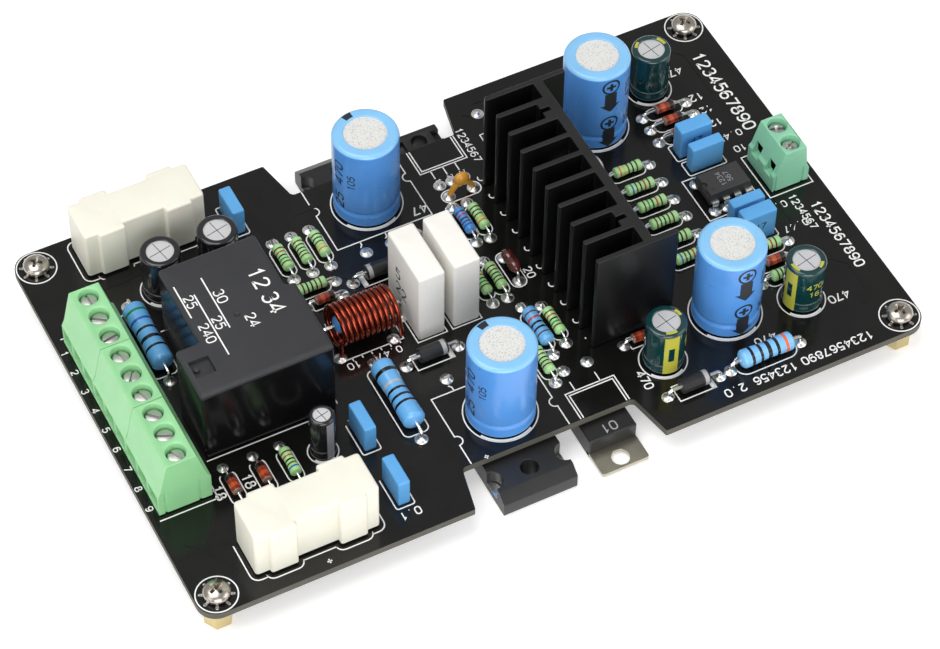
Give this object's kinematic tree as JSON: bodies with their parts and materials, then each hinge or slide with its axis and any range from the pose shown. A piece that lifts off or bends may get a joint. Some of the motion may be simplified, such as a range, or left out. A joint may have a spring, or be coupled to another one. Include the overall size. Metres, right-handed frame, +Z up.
{
  "type": "audio amplifier board",
  "caption": "Audio power amplifier module: a notched circuit board on standoffs with relay, comb heatsink, capacitors, fuse holders and screw terminals.",
  "frame": {"origin": "under the middle of the circuit board, level with the feet of the standoffs", "axes": "+X from the power terminals to the signal input, +Y from the front edge to the back edge, +Z up out of the component side"},
  "size_m": [0.1536, 0.094, 0.0332],
  "materials": {
    "board_mask": "glossy",
    "zinc": "satin",
    "brass": "satin",
    "mint_plastic": "satin",
    "jade_plastic": "satin",
    "case_plastic": "satin",
    "cream_plastic": "satin",
    "fuse_glass": "clear",
    "black_anodised": "satin",
    "blue_sleeve": "glossy",
    "green_sleeve": "glossy",
    "enamelled_wire": "glossy",
    "trimmer_blue": "satin"
  },
  "bodies": {
    "board": {"circuit_board": "board_mask", "standoff_1": "brass", "standoff_2": "brass", "standoff_3": "brass", "standoff_4": "brass", "board_screw_1": "zinc", "board_screw_2": "zinc", "board_screw_3": "zinc", "board_screw_4": "zinc", "power_terminal_1": "mint_plastic", "power_terminal_2": "mint_plastic", "power_terminal_3": "mint_plastic", "input_terminal": "jade_plastic", "relay": "case_plastic", "fuse_base_1": "cream_plastic", "fuse_base_2": "cream_plastic", "fuse_1": "fuse_glass", "fuse_2": "fuse_glass", "heatsink": "black_anodised", "driver_chip": "case_plastic", "chip_screw": "zinc", "blue_capacitor_1": "blue_sleeve", "blue_capacitor_2": "blue_sleeve", "blue_capacitor_3": "blue_sleeve", "blue_capacitor_4": "blue_sleeve", "green_capacitor_1": "green_sleeve", "green_capacitor_2": "green_sleeve", "green_capacitor_3": "green_sleeve", "output_coil": "enamelled_wire", "trimmer": "trimmer_blue", "input_chip": "case_plastic", "power_transistor_1": "case_plastic", "power_transistor_2": "case_plastic", "driver_transistor": "case_plastic", "thermal_switch": "case_plastic"},
    "power_screw_1": {"power_screw_1": "zinc"},
    "power_cage_1": {"power_cage_1": "brass"},
    "power_screw_2": {"power_screw_2": "zinc"},
    "power_cage_2": {"power_cage_2": "brass"},
    "power_screw_3": {"power_screw_3": "zinc"},
    "power_cage_3": {"power_cage_3": "brass"},
    "power_screw_4": {"power_screw_4": "zinc"},
    "power_cage_4": {"power_cage_4": "brass"},
    "power_screw_5": {"power_screw_5": "zinc"},
    "power_cage_5": {"power_cage_5": "brass"},
    "power_screw_6": {"power_screw_6": "zinc"},
    "power_cage_6": {"power_cage_6": "brass"},
    "power_screw_7": {"power_screw_7": "zinc"},
    "power_cage_7": {"power_cage_7": "brass"},
    "power_screw_8": {"power_screw_8": "zinc"},
    "power_cage_8": {"power_cage_8": "brass"},
    "power_screw_9": {"power_screw_9": "zinc"},
    "power_cage_9": {"power_cage_9": "brass"},
    "input_screw_1": {"input_screw_1": "zinc"},
    "input_cage_1": {"input_cage_1": "brass"},
    "input_screw_2": {"input_screw_2": "zinc"},
    "input_cage_2": {"input_cage_2": "brass"},
    "fuse_cover_1": {"fuse_cover_1": "cream_plastic"},
    "fuse_cover_2": {"fuse_cover_2": "cream_plastic"},
    "trimmer_screw": {"trimmer_screw": "brass"}
  },
  "joints": [
    {"name": "power_screw_1_turn", "type": "hinge", "parent": "board", "child": "power_screw_1", "pos_m": [-0.06965, -0.01996, 0.019], "axis": [0, 0, -1], "range_deg": [0, 1440]},
    {"name": "power_cage_1_lift", "type": "slide", "parent": "board", "child": "power_cage_1", "axis": [0, 0, 1], "range_m": [0, 0.002]},
    {"name": "power_screw_2_turn", "type": "hinge", "parent": "board", "child": "power_screw_2", "pos_m": [-0.06965, -0.01488, 0.019], "axis": [0, 0, -1], "range_deg": [0, 1440]},
    {"name": "power_cage_2_lift", "type": "slide", "parent": "board", "child": "power_cage_2", "axis": [0, 0, 1], "range_m": [0, 0.002]},
    {"name": "power_screw_3_turn", "type": "hinge", "parent": "board", "child": "power_screw_3", "pos_m": [-0.06965, -0.0098, 0.019], "axis": [0, 0, -1], "range_deg": [0, 1440]},
    {"name": "power_cage_3_lift", "type": "slide", "parent": "board", "child": "power_cage_3", "axis": [0, 0, 1], "range_m": [0, 0.002]},
    {"name": "power_screw_4_turn", "type": "hinge", "parent": "board", "child": "power_screw_4", "pos_m": [-0.06965, -0.00472, 0.019], "axis": [0, 0, -1], "range_deg": [0, 1440]},
    {"name": "power_cage_4_lift", "type": "slide", "parent": "board", "child": "power_cage_4", "axis": [0, 0, 1], "range_m": [0, 0.002]},
    {"name": "power_screw_5_turn", "type": "hinge", "parent": "board", "child": "power_screw_5", "pos_m": [-0.06965, 0.00036, 0.019], "axis": [0, 0, -1], "range_deg": [0, 1440]},
    {"name": "power_cage_5_lift", "type": "slide", "parent": "board", "child": "power_cage_5", "axis": [0, 0, 1], "range_m": [0, 0.002]},
    {"name": "power_screw_6_turn", "type": "hinge", "parent": "board", "child": "power_screw_6", "pos_m": [-0.06965, 0.00544, 0.019], "axis": [0, 0, -1], "range_deg": [0, 1440]},
    {"name": "power_cage_6_lift", "type": "slide", "parent": "board", "child": "power_cage_6", "axis": [0, 0, 1], "range_m": [0, 0.002]},
    {"name": "power_screw_7_turn", "type": "hinge", "parent": "board", "child": "power_screw_7", "pos_m": [-0.06965, 0.01052, 0.019], "axis": [0, 0, -1], "range_deg": [0, 1440]},
    {"name": "power_cage_7_lift", "type": "slide", "parent": "board", "child": "power_cage_7", "axis": [0, 0, 1], "range_m": [0, 0.002]},
    {"name": "power_screw_8_turn", "type": "hinge", "parent": "board", "child": "power_screw_8", "pos_m": [-0.06965, 0.0156, 0.019], "axis": [0, 0, -1], "range_deg": [0, 1440]},
    {"name": "power_cage_8_lift", "type": "slide", "parent": "board", "child": "power_cage_8", "axis": [0, 0, 1], "range_m": [0, 0.002]},
    {"name": "power_screw_9_turn", "type": "hinge", "parent": "board", "child": "power_screw_9", "pos_m": [-0.06965, 0.02068, 0.019], "axis": [0, 0, -1], "range_deg": [0, 1440]},
    {"name": "power_cage_9_lift", "type": "slide", "parent": "board", "child": "power_cage_9", "axis": [0, 0, 1], "range_m": [0, 0.002]},
    {"name": "input_screw_1_turn", "type": "hinge", "parent": "board", "child": "input_screw_1", "pos_m": [0.0707, -0.00234, 0.0155], "axis": [0, 0, -1], "range_deg": [0, 1440]},
    {"name": "input_cage_1_lift", "type": "slide", "parent": "board", "child": "input_cage_1", "axis": [0, 0, 1], "range_m": [0, 0.002]},
    {"name": "input_screw_2_turn", "type": "hinge", "parent": "board", "child": "input_screw_2", "pos_m": [0.0707, 0.00274, 0.0155], "axis": [0, 0, -1], "range_deg": [0, 1440]},
    {"name": "input_cage_2_lift", "type": "slide", "parent": "board", "child": "input_cage_2", "axis": [0, 0, 1], "range_m": [0, 0.002]},
    {"name": "fuse_cover_1_pull", "type": "slide", "parent": "board", "child": "fuse_cover_1", "axis": [0, 0, 1], "range_m": [0, 0.015]},
    {"name": "fuse_cover_2_pull", "type": "slide", "parent": "board", "child": "fuse_cover_2", "axis": [0, 0, 1], "range_m": [0, 0.015]},
    {"name": "trimmer_turn", "type": "hinge", "parent": "board", "child": "trimmer_screw", "pos_m": [0.0227, 0.0332, 0.018], "axis": [0, 0, 1], "continuous": true}
  ],
  "couplings": [
    {"joint": "power_screw_1_turn", "follows": "power_cage_1_lift", "rad_per_m": 12566},
    {"joint": "power_screw_2_turn", "follows": "power_cage_2_lift", "rad_per_m": 12566},
    {"joint": "power_screw_3_turn", "follows": "power_cage_3_lift", "rad_per_m": 12566},
    {"joint": "power_screw_4_turn", "follows": "power_cage_4_lift", "rad_per_m": 12566},
    {"joint": "power_screw_5_turn", "follows": "power_cage_5_lift", "rad_per_m": 12566},
    {"joint": "power_screw_6_turn", "follows": "power_cage_6_lift", "rad_per_m": 12566},
    {"joint": "power_screw_7_turn", "follows": "power_cage_7_lift", "rad_per_m": 12566},
    {"joint": "power_screw_8_turn", "follows": "power_cage_8_lift", "rad_per_m": 12566},
    {"joint": "power_screw_9_turn", "follows": "power_cage_9_lift", "rad_per_m": 12566},
    {"joint": "input_screw_1_turn", "follows": "input_cage_1_lift", "rad_per_m": 12566},
    {"joint": "input_screw_2_turn", "follows": "input_cage_2_lift", "rad_per_m": 12566}
  ]
}
